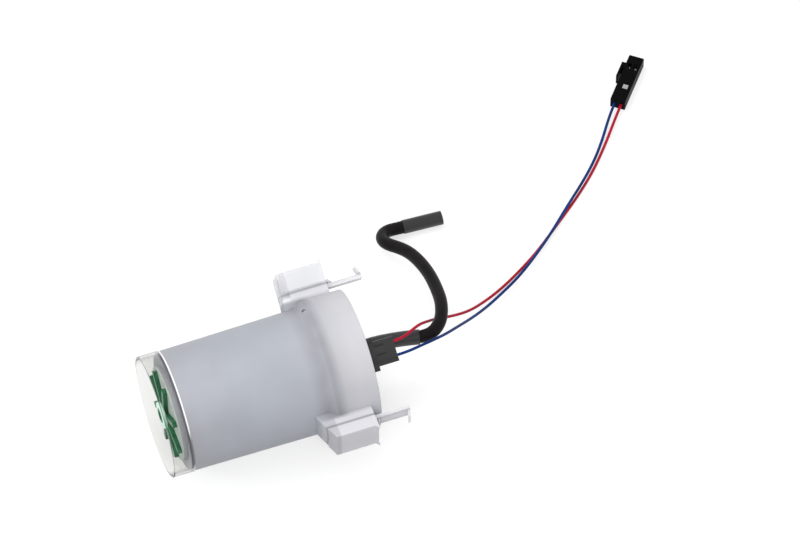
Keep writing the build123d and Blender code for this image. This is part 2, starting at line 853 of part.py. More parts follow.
red_route = [
    tuple(spot(red_down, red_back, plug_exit)),
    (86.8, 0.6, 47.5),
    (95.4, 3.3, 50.2),
    (102.0, 8.4, 46.8),
    (110.3, 15.4, 37.5),
    (119.3, 22.3, 28.0),
    (130.5, 26.9, 19.4),
    (145.6, 33.6, 10.2),
    (161.5, 43.3, 3.6),
    (175.0, 51.2, 1.3),
    (189.4, 60.1, 1.0),
    (205.7, 71.3, 1.0),
    (227.0, 89.0, 1.0),
    (246.9, 105.9, 1.0),
    (263.4, 122.0, 1.0),
    (278.5, 139.9, 1.0),
    (293.4, 158.9, 3.6),
    (301.5, 168.9, 4.0),
]
blue_route = [
    tuple(spot(blue_down, blue_back, plug_exit)),
    (87.6, -6.7, 42.2),
    (98.5, -5.2, 42.9),
    (108.5, -2.2, 41.0),
    (118.0, 3.7, 35.0),
    (129.5, 12.7, 26.5),
    (144.0, 24.2, 15.5),
    (158.5, 35.5, 7.2),
    (172.3, 45.4, 3.3),
    (186.4, 54.1, 3.1),
    (201.0, 65.4, 3.1),
    (219.1, 81.3, 3.1),
    (236.6, 98.7, 3.1),
    (251.7, 112.9, 2.9),
    (266.0, 128.3, 1.7),
    (278.1, 144.3, 1.0),
    (289.9, 161.6, 3.6),
    (298.1, 171.7, 4.0),
]


def path_radii(route):
    """Largest arc that the two runs at each corner leave room for."""
    points = [Vector(*point) for point in route]
    radii = []
    for before, corner, after in zip(points, points[1:], points[2:]):
        turn = (corner - before).get_angle(after - corner)
        shorter = min((corner - before).length, (after - corner).length)
        radii.append(0.45 * shorter / tan(radians(turn / 2)))
    return radii


def tube(route, outer, inner=0.0, radii=None):
    """Tube along a route, with its arcs, from end to end."""
    with BuildPart() as cord:
        with BuildLine():
            line = FilletPolyline(*route, radius=radii or path_radii(route))
        with BuildSketch(Plane(origin=line @ 0, z_dir=line % 0)):
            Circle(outer)
            if inner:
                Circle(inner, mode=Mode.SUBTRACT)
        sweep()
    ring_area = 3.14159265 * (outer**2 - inner**2)
    print("tube volume over section times length:", round(cord.part.volume / (ring_area * line.length), 4))
    print("length", round(line.length, 1), "radii", [round(r, 1) for r in path_radii(route)])
    return cord.part


hose_radius = hose_diameter / 2
hose_radii = path_radii(hose_route)
hose = tube(hose_route, hose_radius, hose_bore / 2)
wire_red = tube(red_route, wire_diameter / 2)
wire_blue = tube(blue_route, wire_diameter / 2)

# Sleeve on the hose's first stretch, and a thin one on its straight end
sleeve_start = Vector(*hose_route[1]) + (Vector(*hose_route[0]) - Vector(*hose_route[1])).normalized() * 9
sleeve_stop = Vector(*hose_route[3]) + (Vector(*hose_route[2]) - Vector(*hose_route[3])).normalized() * 6.5
outlet_sleeve = tube(
    [tuple(sleeve_start), hose_route[1], hose_route[2], tuple(sleeve_stop)],
    hose_radius + sleeve_gap + outlet_sleeve_wall,
    hose_radius + sleeve_gap,
    hose_radii[:2],
)
hose_end = Vector(*hose_route[-1])
end_run = (hose_end - Vector(*hose_route[-2])).normalized()
with BuildPart() as hose_end_sleeve:
    with BuildSketch(Plane(origin=hose_end - end_run * end_sleeve_length, z_dir=end_run)):
        Circle(hose_radius + sleeve_gap + end_sleeve_wall)
        Circle(hose_radius + sleeve_gap, mode=Mode.SUBTRACT)
    extrude(amount=end_sleeve_length + 0.5)

# Clamp round the hose on the nozzle
with BuildPart() as hose_clamp:
    with BuildSketch(lying.offset(clamp_foot)):
        with Locations((nozzle_down, nozzle_back)):
            Circle(hose_radius + 0.1 + clamp_wall)
            with Locations((hose_radius + clamp_wall + 0.6, 0)):
                Rectangle(2.4, 3.2)
            Circle(hose_radius + 0.1, mode=Mode.SUBTRACT)
    extrude(amount=clamp_height)

# Far connector
connector_plane = Plane(
    origin=(connector_x, connector_y, 0),
    x_dir=(cos(radians(connector_turn)), sin(radians(connector_turn)), 0),
    z_dir=(0, 0, 1),
)
with BuildPart() as connector_housing:
    with BuildSketch(connector_plane):
        with BuildLine():
            Polyline(
                (0, -connector_width / 2),
                (connector_length, -connector_width / 2),
                (connector_length, connector_width / 2),
                (connector_length * 0.82, connector_width / 2),
                (connector_length * 0.82, connector_width / 2 + 2 * latch_width),
                (connector_length * 0.5, connector_width / 2 + 2 * latch_width),
                (connector_length * 0.5, connector_width / 2 + latch_width),
                (connector_length * 0.72, connector_width / 2 + latch_width),
                (connector_length * 0.72, connector_width / 2),
                (0, connector_width / 2),
                close=True,
            )
        make_face()
    extrude(amount=connector_height)
    mouth = Plane(
        origin=connector_plane.from_local_coords(Vector(connector_length, 0, connector_height / 2)),
        x_dir=connector_plane.y_dir,
        z_dir=connector_plane.x_dir,
    )
    with BuildSketch(mouth):
        with GridLocations(cavity_pitch, 0, 2, 1):
            Rectangle(cavity_width, connector_height - 2 * connector_wall)
    extrude(amount=-cavity_depth, mode=Mode.SUBTRACT)
    with BuildSketch(mouth.offset(-connector_length)):
        with GridLocations(cavity_pitch, 0, 2, 1):
            Circle(wire_diameter / 2 + wire_gap)
    extrude(amount=connector_length, mode=Mode.SUBTRACT)
    with BuildSketch(connector_plane.offset(connector_height)):
        for window_side in (-1, 1):
            with Locations((window_x, window_side * cavity_pitch / 2)):
                Rectangle(window_length, window_width)
    extrude(amount=-connector_wall, mode=Mode.SUBTRACT)
    with BuildSketch(connector_plane.offset(connector_height)):
        with Locations((lock_x, lock_y)):
            Rectangle(lock_size, lock_size)
    extrude(amount=-connector_wall - lock_gap, mode=Mode.SUBTRACT)

with BuildPart() as connector_lock:
    with BuildSketch(connector_plane.offset(connector_height)):
        with Locations((lock_x, lock_y)):
            Rectangle(lock_size - 2 * lock_gap, lock_size - 2 * lock_gap)
    extrude(amount=-connector_wall)

with BuildPart() as connector_terminals:
    with BuildSketch(mouth.offset(-cavity_depth)):
        with GridLocations(cavity_pitch, 0, 2, 1):
            Rectangle(terminal_width, terminal_width)
            Rectangle(
                terminal_width - 2 * terminal_wall, terminal_width - 2 * terminal_wall, mode=Mode.SUBTRACT
            )
    extrude(amount=cavity_depth - terminal_setback)

# Write the pieces
pieces = {
    "base_skirt": base_skirt.part,
    "reservoir_cup": reservoir_cup.part,
    "strainer_disc": strainer_disc.part,
    "star_retainer": star_retainer.part,
    "fill_valve": fill_valve.part,
    "pump_carrier": pump_carrier.part,
    "isolator_ring": isolator_ring.part,
    "pump_shell": pump_shell.part,
    "inlet_cover": inlet_cover.part,
    "channel_plate": channel_plate.part,
    "impeller": impeller.part,
    "bearing_lower": bearing_lower.part,
    "bearing_upper": bearing_upper.part,
    "rotor_shaft": rotor_shaft.part,
    "armature_core": armature_core.part,
    "windings": windings.part,
    "commutator": commutator.part,
    "outlet_cover": outlet_cover.part,
    "pump_terminals": pump_terminals.part,
    "check_valve": check_valve.part,
    "relief_ball": relief_ball.part,
    "inlet_sock": inlet_sock.part,
    "plug_housing": plug_housing.part,
    "hose": hose,
    "outlet_sleeve": outlet_sleeve,
    "hose_end_sleeve": hose_end_sleeve.part,
    "hose_clamp": hose_clamp.part,
    "wire_red": wire_red,
    "wire_blue": wire_blue,
    "connector_housing": connector_housing.part,
    "connector_lock": connector_lock.part,
    "connector_terminals": connector_terminals.part,
    **magnet_halves,
    **brushes,
    **springs,
}
for name, piece in pieces.items():
    piece.label = name
    export_step(piece, f"parts/{name}.step")
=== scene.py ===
import json
from math import pi

import bmesh
import bpy
import numpy as np
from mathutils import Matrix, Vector


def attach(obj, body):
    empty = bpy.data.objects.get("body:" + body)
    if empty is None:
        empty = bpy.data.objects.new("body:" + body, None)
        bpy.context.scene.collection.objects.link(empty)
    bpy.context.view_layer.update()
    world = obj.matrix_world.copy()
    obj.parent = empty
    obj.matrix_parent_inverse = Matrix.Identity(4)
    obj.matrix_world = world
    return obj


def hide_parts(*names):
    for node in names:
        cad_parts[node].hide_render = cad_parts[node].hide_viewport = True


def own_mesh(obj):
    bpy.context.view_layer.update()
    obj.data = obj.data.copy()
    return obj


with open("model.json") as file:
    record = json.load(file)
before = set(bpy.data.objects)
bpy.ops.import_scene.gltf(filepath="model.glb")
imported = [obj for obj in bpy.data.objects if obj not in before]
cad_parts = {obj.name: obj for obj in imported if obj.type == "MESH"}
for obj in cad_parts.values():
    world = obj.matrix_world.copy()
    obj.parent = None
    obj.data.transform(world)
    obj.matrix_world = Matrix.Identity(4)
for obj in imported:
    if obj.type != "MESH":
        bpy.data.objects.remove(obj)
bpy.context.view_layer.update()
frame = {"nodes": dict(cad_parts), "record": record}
nodes = frame["nodes"]

# The pot lies on its side: the foot of its skirt, then the ways along it, down across it and back across it.
potFoot = Vector((-0.079, -0.0013, 0.0399726))
potAxis = Vector((0.9993139, 0.0, 0.0370370))
potDown = Vector((0.0370370, 0.0, -0.9993139))
potBack = Vector((0.0, 1.0, 0.0))

mmPerMetre = 1000  # this over a pattern's size in mm is the pattern's scale
noiseSpan = (0.3, 0.7)  # nearly all of a noise lies between these
mottleSpan = (0.35, 0.7)
smooth = {"interpolation_type": "SMOOTHSTEP"}
rgba = {"data_type": "RGBA"}


# Linear RGBA from an sRGB hex colour: v / 12.92 near black, else ((v + 0.055) / 1.055) to the power 2.4.
def linear(hexColour):
    values = [int(hexColour[i:i + 2], 16) / 255 for i in (1, 3, 5)]
    return [v / 12.92 if v <= 0.04045 else ((v + 0.055) / 1.055) ** 2.4 for v in values] + [1.0]


# Adds a node and gives one of its outputs, or the node itself where out is None.
# Inputs go by name or place, and each is a constant or the socket that feeds it.
def addNode(tree, kind, settings=None, inputs=None, out=0):
    node = tree.nodes.new("ShaderNode" + kind)
    for key, value in (settings or {}).items():
        setattr(node, key, value)
    pairs = enumerate(inputs) if isinstance(inputs, list) else (inputs or {}).items()
    for key, value in pairs:
        if isinstance(value, bpy.types.NodeSocket):
            tree.links.new(value, node.inputs[key])
        else:
            node.inputs[key].default_value = value
    return node if out is None else node.outputs[out]


# An empty material and its node tree.
def newMaterial(name):
    material = bpy.data.materials.new(name)
    material.use_nodes = True
    material.node_tree.nodes.clear()
    return material, material.node_tree


# Height along the pot's axis in metres: h = (p - foot) . axis.
def potHeight(tree, place):
    local = addNode(tree, "VectorMath", {"operation": "SUBTRACT"}, [place, potFoot])
    return addNode(tree, "VectorMath", {"operation": "DOT_PRODUCT"}, [local, potAxis], "Value")


# Distance from the pot's axis in metres: d = |p - foot - h axis|.
def potDistance(tree, place, height):
    local = addNode(tree, "VectorMath", {"operation": "SUBTRACT"}, [place, potFoot])
    along = addNode(tree, "VectorMath", {"operation": "SCALE"}, {0: potAxis, "Scale": height})
    aside = addNode(tree, "VectorMath", {"operation": "SUBTRACT"}, [local, along])
    return addNode(tree, "VectorMath", {"operation": "LENGTH"}, [aside], "Value")


# Natural acetal, moulded: light goes a little way in, so it looks like milk glass. It is blue grey over the
# pump and paler on the ring.
# The brackets' thin walls and the hooks let light through and are painted pale with light; their other walls
# carry painted shade.
milky = {
    # The stops at 0.74 and 0.79 are painted shade under the flare's step, between pump and ring
    "tones": [
        (0.08, "#b1b1b6"), (0.16, "#b2b4bb"), (0.45, "#b5b9c1"), (0.68, "#b6b9c0"), (0.74, "#a3a3a9"),
        (0.79, "#a6a6ac"), (0.83, "#cccbcf"), (0.90, "#d6d5d9"), (0.98, "#d8d7db"),
    ],
    "toneLength": 0.14,  # the tones' places are shares of this length along the pot
    "cloud": "#c6c9d2",
    "cloudShare": 0.35,
    "cloudMm": 30,
    "grainMm": 0.9,  # coarser than real mould grain, so that it shows
    "bracket": (0.0440, 0.0475),  # this one and the next four are distances from the axis
    "clearing": (0.0462, 0.0500),
    "pastShelf": (0.0500, 0.0512),
    "stepRise": (0.0494, 0.0502),
    "stepFall": (0.0508, 0.0516),
    "endWall": (0.1040, 0.1060),  # heights along the axis, as for the hook
    "hook": (0.130, 0.137),
    # Over these heights the brackets' thin walls are painted pale with light
    "raised": (0.048, 0.064),  # heights above the table
    # Painted shade: the first tone is the walls in shade, the second the end wall in deeper shade. Painted
    # light: the third is the pale tone of thin walls raised off the table and of the hooks.
    "wall": "#e4e3e8",
    "wallEndInShade": "#cbcacf",
    "litThinWall": "#f9f9fb",
    # Painted shadow: a dark line at the shelf's step, under the flank's overhang
    "stepShadowLine": "#86868c",
    "stepShadowShare": 0.6,
    "throughShare": 0.2,  # light that comes through from behind
    "clearTint": "#f4f4f6",
    "clearness": (0.10, 0.40),
    "endClearness": 0.25,
}


def milkyAcetal():
    material, tree = newMaterial("milky_acetal")
    place = addNode(tree, "TexCoord", out="Object")
    height = potHeight(tree, place)
    distance = potDistance(tree, place, height)
    above = addNode(tree, "SeparateXYZ", None, [place], "Z")

    # Pot and ring: tones along the axis, with a band of painted shade at the flare's step, under slow pale
    # clouds
    share = addNode(tree, "MapRange", None, [height, 0.0, milky["toneLength"], 0.0, 1.0])
    tones = addNode(tree, "ValToRGB", None, [share], None)
    stops = tones.color_ramp.elements
    while len(stops) < len(milky["tones"]):
        stops.new(0.5)
    for stop, (position, colour) in zip(stops, milky["tones"]):
        stop.position = position
        stop.color = linear(colour)
    drift = addNode(tree, "TexNoise", None, {
        "Vector": place, "Scale": mmPerMetre / milky["cloudMm"], "Detail": 2.0,
    }, "Fac")
    cloud = addNode(tree, "MapRange", smooth, [drift, *noiseSpan, 0.0, milky["cloudShare"]])
    clouded = addNode(tree, "Mix", rgba, {
        0: cloud, 6: tones.outputs["Color"], 7: linear(milky["cloud"]),
    }, 2)

    # Brackets: painted light, pale on the thin walls raised off the table and on the hooks; painted shade,
    # darker on the other walls and most on the end wall; and a painted shadow line at the shelf's step
    raised = addNode(tree, "MapRange", smooth, [above, *milky["raised"], 0.0, 1.0])
    hook = addNode(tree, "MapRange", smooth, [height, *milky["hook"], 0.0, 1.0])
    pastShelf = addNode(tree, "MapRange", smooth, [distance, *milky["pastShelf"], 0.0, 1.0])
    endWall = addNode(tree, "MapRange", smooth, [height, *milky["endWall"], 1.0, 0.0])
    thin = addNode(tree, "Math", {"operation": "MAXIMUM"}, [pastShelf, endWall])
    lit = addNode(tree, "Math", {"operation": "MULTIPLY"}, [raised, thin])
    pale = addNode(tree, "Math", {"operation": "MAXIMUM"}, [lit, hook])
    shaded = addNode(tree, "Mix", rgba, {
        0: endWall, 6: linear(milky["wall"]), 7: linear(milky["wallEndInShade"]),
    }, 2)
    wallTone = addNode(tree, "Mix", rgba, {0: pale, 6: shaded, 7: linear(milky["litThinWall"])}, 2)
    # Painted shadow: a dark line at the shelf's step, under the flank's overhang
    rise = addNode(tree, "MapRange", smooth, [distance, *milky["stepRise"], 0.0, 1.0])
    fall = addNode(tree, "MapRange", smooth, [distance, *milky["stepFall"], 1.0, 0.0])
    stepShadowBand = addNode(tree, "Math", {"operation": "MULTIPLY"}, [rise, fall])
    stepShadowLine = addNode(tree, "Math", {"operation": "MULTIPLY"}, [stepShadowBand, milky["stepShadowShare"]])
    wall = addNode(tree, "Mix", rgba, {0: stepShadowLine, 6: wallTone, 7: linear(milky["stepShadowLine"])}, 2)

    bracket = addNode(tree, "MapRange", smooth, [distance, *milky["bracket"], 0.0, 1.0])
    colour = addNode(tree, "Mix", rgba, {0: bracket, 6: clouded, 7: wall}, 2)
    grain = addNode(tree, "TexNoise", None, {
        "Vector": place, "Scale": mmPerMetre / milky["grainMm"], "Detail": 4.0,
    }, "Fac")
    normal = addNode(tree, "Bump", None, {"Height": grain, "Distance": 0.00002, "Strength": 0.5})
    solid = addNode(tree, "BsdfPrincipled", None, {
        "Base Color": colour,
        "Roughness": addNode(tree, "MapRange", smooth, [drift, *noiseSpan, 0.38, 0.52]),
        "Subsurface Weight": 0.35,
        "Subsurface Radius": (0.9, 0.95, 1.0),
        "Subsurface Scale": 0.004,
        "Specular IOR Level": 0.45,
        "Normal": normal,
    })
    through = addNode(tree, "BsdfTranslucent", None, {"Color": colour, "Normal": normal})
    milk = addNode(tree, "MixShader", None, [milky["throughShare"], solid, through])

    # The brackets let some light straight through, most of all in the thin walls
    clear = addNode(tree, "BsdfTransparent", None, {"Color": linear(milky["clearTint"])})
    clearing = addNode(tree, "MapRange", smooth, [distance, *milky["clearing"], 0.0, 1.0])
    wallShare = addNode(tree, "MapRange", smooth, [pale, 0.0, 1.0, *milky["clearness"]])
    raisedEnd = addNode(tree, "Math", {"operation": "MULTIPLY"}, [raised, endWall])
    summed = addNode(tree, "Math", {"operation": "MULTIPLY_ADD"}, [
        raisedEnd, milky["endClearness"], wallShare,
    ])
    clearness = addNode(tree, "Math", {"operation": "MULTIPLY"}, [clearing, summed])
    shader = addNode(tree, "MixShader", None, [clearness, milk, clear])
    addNode(tree, "OutputMaterial", None, {"Surface": shader}, None)
    return material


# Clear styrene, moulded: glassy, with painted shade grey along its outlines, faint flow lines, and a painted
# highlight white along its edge against the pot.
skirt = {
    "face": "#ebebe9",
    "outlineShade": "#5c5c60",
    "outlineSpan": (0.55, 0.98),  # from where the face turns away to where it is seen edge on
    "seam": "#a6a6ac",
    "seamHeight": (0.0112, 0.0122),  # heights along the axis, as for the highlight band
    "highlightBandHeight": (0.0130, 0.0134),
    "highlightTop": (0.055, 0.066),  # heights above the table, as for the foot
    "highlightFoot": (0.026, 0.036),
    "faintHighlightShare": 0.1,
    "highlightShare": 0.85,
    "flowMm": 10,
    "flowStretch": (0.3, 1, 1),
    "shadowTint": "#f6f6f5",
}


def clearStyrene():
    material, tree = newMaterial("clear_styrene")
    place = addNode(tree, "TexCoord", out="Object")
    height = potHeight(tree, place)
    above = addNode(tree, "SeparateXYZ", None, [place], "Z")
    stretched = addNode(tree, "Mapping", None, {"Vector": place, "Scale": skirt["flowStretch"]})
    flow = addNode(tree, "TexNoise", None, {
        "Vector": stretched, "Scale": mmPerMetre / skirt["flowMm"], "Detail": 2.0,
    }, "Fac")
    # Painted shade: the glass turns grey where it is seen edge on, in place of what refraction gives there
    facing = addNode(tree, "LayerWeight", None, {"Blend": 0.5}, "Facing")
    edge = addNode(tree, "MapRange", smooth, [facing, *skirt["outlineSpan"], 0.0, 1.0])
    body = addNode(tree, "Mix", rgba, {0: edge, 6: linear(skirt["face"]), 7: linear(skirt["outlineShade"])}, 2)
    seam = addNode(tree, "MapRange", smooth, [height, *skirt["seamHeight"], 0.0, 1.0])
    glass = addNode(tree, "BsdfPrincipled", None, {
        "Base Color": addNode(tree, "Mix", rgba, {0: seam, 6: body, 7: linear(skirt["seam"])}, 2),
        "Roughness": addNode(tree, "MapRange", smooth, [flow, *noiseSpan, 0.02, 0.07]),
        "IOR": 1.2,  # below styrene's own 1.59, so that no veil of reflections hides the star
        "Transmission Weight": 1.0,
        "Normal": addNode(tree, "Bump", None, {"Height": flow, "Distance": 0.0002, "Strength": 0.25}),
    })

    # Painted highlight along the skirt's edge against the pot: white at the top and at the foot, faint
    # between
    faint, strong = skirt["faintHighlightShare"], skirt["highlightShare"]
    upper = addNode(tree, "MapRange", smooth, [above, *skirt["highlightTop"], faint, strong])
    lower = addNode(tree, "MapRange", smooth, [above, *skirt["highlightFoot"], strong, faint])
    bright = addNode(tree, "Math", {"operation": "MAXIMUM"}, [upper, lower])
    highlightBand = addNode(tree, "MapRange", smooth, [height, *skirt["highlightBandHeight"], 0.0, 1.0])
    white = addNode(tree, "Math", {"operation": "MULTIPLY"}, [highlightBand, bright])
    # Painted highlight: plain white in a band at the skirt's edge
    paintedHighlight = addNode(tree, "BsdfDiffuse", None, {"Color": linear("#ffffff")})
    clear = addNode(tree, "MixShader", None, [white, glass, paintedHighlight])

    # Light on its way to a lamp passes straight through, so the skirt's shadow stays thin
    passing = addNode(tree, "BsdfTransparent", None, {"Color": linear(skirt["shadowTint"])})
    shadowRay = addNode(tree, "LightPath", out="Is Shadow Ray")
    shader = addNode(tree, "MixShader", None, [shadowRay, clear, passing])
    addNode(tree, "OutputMaterial", None, {"Surface": shader}, None)
    return material


# Woven polyamide: a pale green haze. Two crossed waves, sin(2 pi y / pitch) and sin(2 pi z / pitch), give
# threads and holes. The pitch is wider than a real strainer's 0.07 mm, so that it can show at all.
strainer = {
    "thread": "#cfe0d6",
    "wornThread": "#e4ebe6",
    "pitch": 0.00035,
    "wearMm": 20,
    "holeShare": 0.5,
    "threadShare": 0.15,
}


def wovenMesh():
    material, tree = newMaterial("polyamide_mesh")
    place = addNode(tree, "TexCoord", out="Object")
    waves = []
    for axis in ("Y", "Z"):
        across = addNode(tree, "SeparateXYZ", None, [place], axis)
        phase = addNode(tree, "Math", {"operation": "MULTIPLY"}, [across, 2 * pi / strainer["pitch"]])
        waves.append(addNode(tree, "Math", {"operation": "SINE"}, [phase]))
    thread = addNode(tree, "Math", {"operation": "MAXIMUM"}, waves)
    drift = addNode(tree, "TexNoise", None, {
        "Vector": place, "Scale": mmPerMetre / strainer["wearMm"], "Detail": 2.0,
    }, "Fac")
    wear = addNode(tree, "MapRange", smooth, [drift, *noiseSpan, 0.0, 1.0])
    colour = addNode(tree, "Mix", rgba, {
        0: wear, 6: linear(strainer["thread"]), 7: linear(strainer["wornThread"]),
    }, 2)
    cloth = addNode(tree, "BsdfPrincipled", None, {
        "Base Color": colour,
        "Roughness": 0.6,
        "Normal": addNode(tree, "Bump", None, {"Height": thread, "Distance": 0.00008, "Strength": 0.6}),
    })
    through = addNode(tree, "BsdfTranslucent", None, {"Color": linear(strainer["thread"])})
    share = addNode(tree, "MapRange", smooth, [
        thread, -0.2, 0.2, strainer["holeShare"], strainer["threadShare"],
    ])
    shader = addNode(tree, "MixShader", None, [share, cloth, through])
    addNode(tree, "OutputMaterial", None, {"Surface": shader}, None)
    return material


# Glass-filled polyamide in green: deep and even, with a shine that softens in patches. Its grain is drawn
# coarser than it is, so that it shows.
star = {"colour": "#0e6a40", "darker": "#0a5534", "mottleMm": 6, "grainMm": 0.5}


def starPlastic():
    material, tree = newMaterial("green_polyamide")
    place = addNode(tree, "TexCoord", out="Object")
    drift = addNode(tree, "TexNoise", None, {
        "Vector": place, "Scale": mmPerMetre / star["mottleMm"], "Detail": 2.0,
    }, "Fac")
    shade = addNode(tree, "MapRange", smooth, [drift, *noiseSpan, 0.0, 1.0])
    grain = addNode(tree, "TexNoise", None, {
        "Vector": place, "Scale": mmPerMetre / star["grainMm"], "Detail": 3.0,
    }, "Fac")
    shader = addNode(tree, "BsdfPrincipled", None, {
        "Base Color": addNode(tree, "Mix", rgba, {
            0: shade, 6: linear(star["darker"]), 7: linear(star["colour"]),
        }, 2),
        "Roughness": addNode(tree, "MapRange", smooth, [drift, *noiseSpan, 0.3, 0.42]),
        "Specular IOR Level": 0.25,
        "Normal": addNode(tree, "Bump", None, {"Height": grain, "Distance": 0.00002, "Strength": 0.5}),
    })
    addNode(tree, "OutputMaterial", None, {"Surface": shader}, None)
    return material


# Moulded plastic or rubber: two near shades drift over mottleMm, and the roughness drifts with them. A grain,
# coarser than the real one so that it shows, takes the hardness off the highlights. Gloss is the specular
# level, and depth the grain's height in metres.
def moulded(name, colour, darker, roughness, gloss=0.5, grainMm=0.6, depth=0.00002, mottleMm=20):
    material, tree = newMaterial(name)
    place = addNode(tree, "TexCoord", out="Object")
    drift = addNode(tree, "TexNoise", None, {
        "Vector": place, "Scale": mmPerMetre / mottleMm, "Detail": 2.0,
    }, "Fac")
    shade = addNode(tree, "MapRange", smooth, [drift, *mottleSpan, 0.0, 1.0])
    grain = addNode(tree, "TexNoise", None, {
        "Vector": place, "Scale": mmPerMetre / grainMm, "Detail": 4.0,
    }, "Fac")
    shader = addNode(tree, "BsdfPrincipled", None, {
        "Base Color": addNode(tree, "Mix", rgba, {0: shade, 6: linear(darker), 7: linear(colour)}, 2),
        "Roughness": addNode(tree, "MapRange", smooth, [
            drift, *noiseSpan, roughness - 0.06, roughness + 0.08,
        ]),
        "Specular IOR Level": gloss,
        "Normal": addNode(tree, "Bump", None, {"Height": grain, "Distance": depth, "Strength": 0.6}),
    })
    addNode(tree, "OutputMaterial", None, {"Surface": shader}, None)
    return material


# Metal: tarnish in patches between two shades, and a grain that breaks up the reflections, drawn coarser than
# it is so that it shows.
def metal(name, colour, darker, roughness, tarnishMm=8, grainMm=0.8):
    material, tree = newMaterial(name)
    place = addNode(tree, "TexCoord", out="Object")
    patches = addNode(tree, "TexNoise", None, {
        "Vector": place, "Scale": mmPerMetre / tarnishMm, "Detail": 2.0,
    }, "Fac")
    tarnish = addNode(tree, "MapRange", smooth, [patches, *noiseSpan, 0.0, 1.0])
    grain = addNode(tree, "TexNoise", None, {
        "Vector": place, "Scale": mmPerMetre / grainMm, "Detail": 3.0,
    }, "Fac")
    shader = addNode(tree, "BsdfPrincipled", None, {
        "Base Color": addNode(tree, "Mix", rgba, {0: tarnish, 6: linear(darker), 7: linear(colour)}, 2),
        "Metallic": 1.0,
        "Roughness": addNode(tree, "MapRange", smooth, [
            grain, *noiseSpan, roughness - 0.08, roughness + 0.1,
        ]),
        "Normal": addNode(tree, "Bump", None, {"Height": grain, "Distance": 0.00001, "Strength": 0.4}),
    })
    addNode(tree, "OutputMaterial", None, {"Surface": shader}, None)
    return material


materials = {
    "clear_plastic": clearStyrene(),
    "milky_plastic": milkyAcetal(),
    "strainer_mesh": wovenMesh(),
    "green_plastic": starPlastic(),
    "valve_rubber": moulded("fluoro_rubber", "#3a3a3a", "#2c2c2c", 0.55),  # dull grey black
    "white_plastic": moulded("white_acetal", "#e6e6ea", "#d8d8de", 0.42),  # cool white, soft shine
    "black_rubber": moulded("black_nitrile", "#232022", "#1a181a", 0.36, 0.55),  # satin sleeve
    "steel": metal("zinc_plated_steel", "#b8b8b8", "#989896", 0.35),  # plain grey, half bright
    "bronze": metal("sintered_bronze", "#a8803c", "#8c6830", 0.5),  # dull gold
    "copper": metal("enamelled_copper", "#b5683c", "#8f4c2a", 0.4),  # brown red under its varnish
    "carbon": moulded("graphite", "#2e2e2e", "#202020", 0.4),  # dark, with a dry sheen
    "black_plastic": moulded("black_polyamide", "#2c2a2c", "#1c1b1d", 0.38),  # charcoal
    "hose_rubber": moulded("extruded_nitrile", "#1b1819", "#121011", 0.42, 0.08, 0.8, 0.00003, 12),  # matt
    "red_wire": moulded("red_wire_sleeve", "#b8082f", "#a3062a", 0.35, 0.2),  # crimson, soft shine
    "blue_wire": moulded("blue_wire_sleeve", "#0b3377", "#082a66", 0.35, 0.15),  # navy, soft shine
    "grey_plastic": moulded("grey_polyamide", "#a9a7a8", "#9c9a9b", 0.4),  # pale grey, even
    "tin": metal("tinned_brass", "#cfcabc", "#b4b0a4", 0.28),  # bright warm silver
}
for subpart in frame["record"]["subparts"]:
    mesh = nodes[subpart["node"]].data
    mesh.materials.clear()
    mesh.materials.append(materials[subpart["material_slot"]])
connectorBlack = moulded("black_connector_polyamide", "#0c0c0d", "#070708", 0.38, 0.03)  # hardly shines
nodes["connector_housing"].data.materials[0] = connectorBlack
print("materials done:", len(materials) + 1)


# Mesh object from a grid of points, rows by columns, closed both ways. Face (i, j) joins the points (i, j),
# (i, j + 1), (i + 1, j + 1) and (i + 1, j), and the last ones come back to the first points.
def gridObject(name, points, material):
    rows, columns = points.shape[:2]
    index = np.pad(np.arange(rows * columns).reshape(rows, columns), (0, 1), mode="wrap")
    corners = [index[:-1, :-1], index[:-1, 1:], index[1:, 1:], index[1:, :-1]]
    faces = np.stack(corners, axis=-1).reshape(-1, 4)
    mesh = bpy.data.meshes.new(name)
    mesh.from_pydata(points.reshape(-1, 3).tolist(), [], faces.tolist())
    mesh.polygons.foreach_set("use_smooth", [True] * len(faces))
    mesh.materials.append(material)
    obj = bpy.data.objects.new(name, mesh)
    bpy.context.scene.collection.objects.link(obj)
    return obj


# Closed profile of (radius r, height h) turned round the pot's axis:
# p = foot + h axis + r (down cos u + back sin u).
def turnedGrid(profile, steps):
    radius, height = np.array(profile).T[:, :, None, None]
    turn = np.linspace(0, 2 * pi, steps, endpoint=False)
    spokes = np.outer(np.cos(turn), potDown) + np.outer(np.sin(turn), potBack)
    return np.array(potFoot) + height * np.array(potAxis) + radius * spokes


# Pale ring on the star's hub: a flat bead with its lower edges eased.
hubRing = {
    "innerRadius": 0.0048,
    "outerRadius": 0.0088,
    "foot": 0.0036,
    "thickness": 0.0024,
    "edge": 0.0005,
    "easing": 0.3,  # share of the edge that its middle point stands in
    "steps": 72,
    "colour": "#d6f6e7",
    "darker": "#c8eedb",
}
inner, outer, edge = hubRing["innerRadius"], hubRing["outerRadius"], hubRing["edge"]
foot, top = hubRing["foot"], hubRing["foot"] + hubRing["thickness"]
eased = edge * hubRing["easing"]
ringProfile = [
    (inner, foot + edge), (inner + eased, foot + eased), (inner + edge, foot),
    (outer - edge, foot), (outer - eased, foot + eased), (outer, foot + edge),
    (outer, top), (inner, top),
]
ringMint = moulded("mint_polyamide", hubRing["colour"], hubRing["darker"], 0.4)  # pale against the green
starRing = gridObject("star_hub_ring", turnedGrid(ringProfile, hubRing["steps"]), ringMint)
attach(starRing, "pot")
print("star ring done")

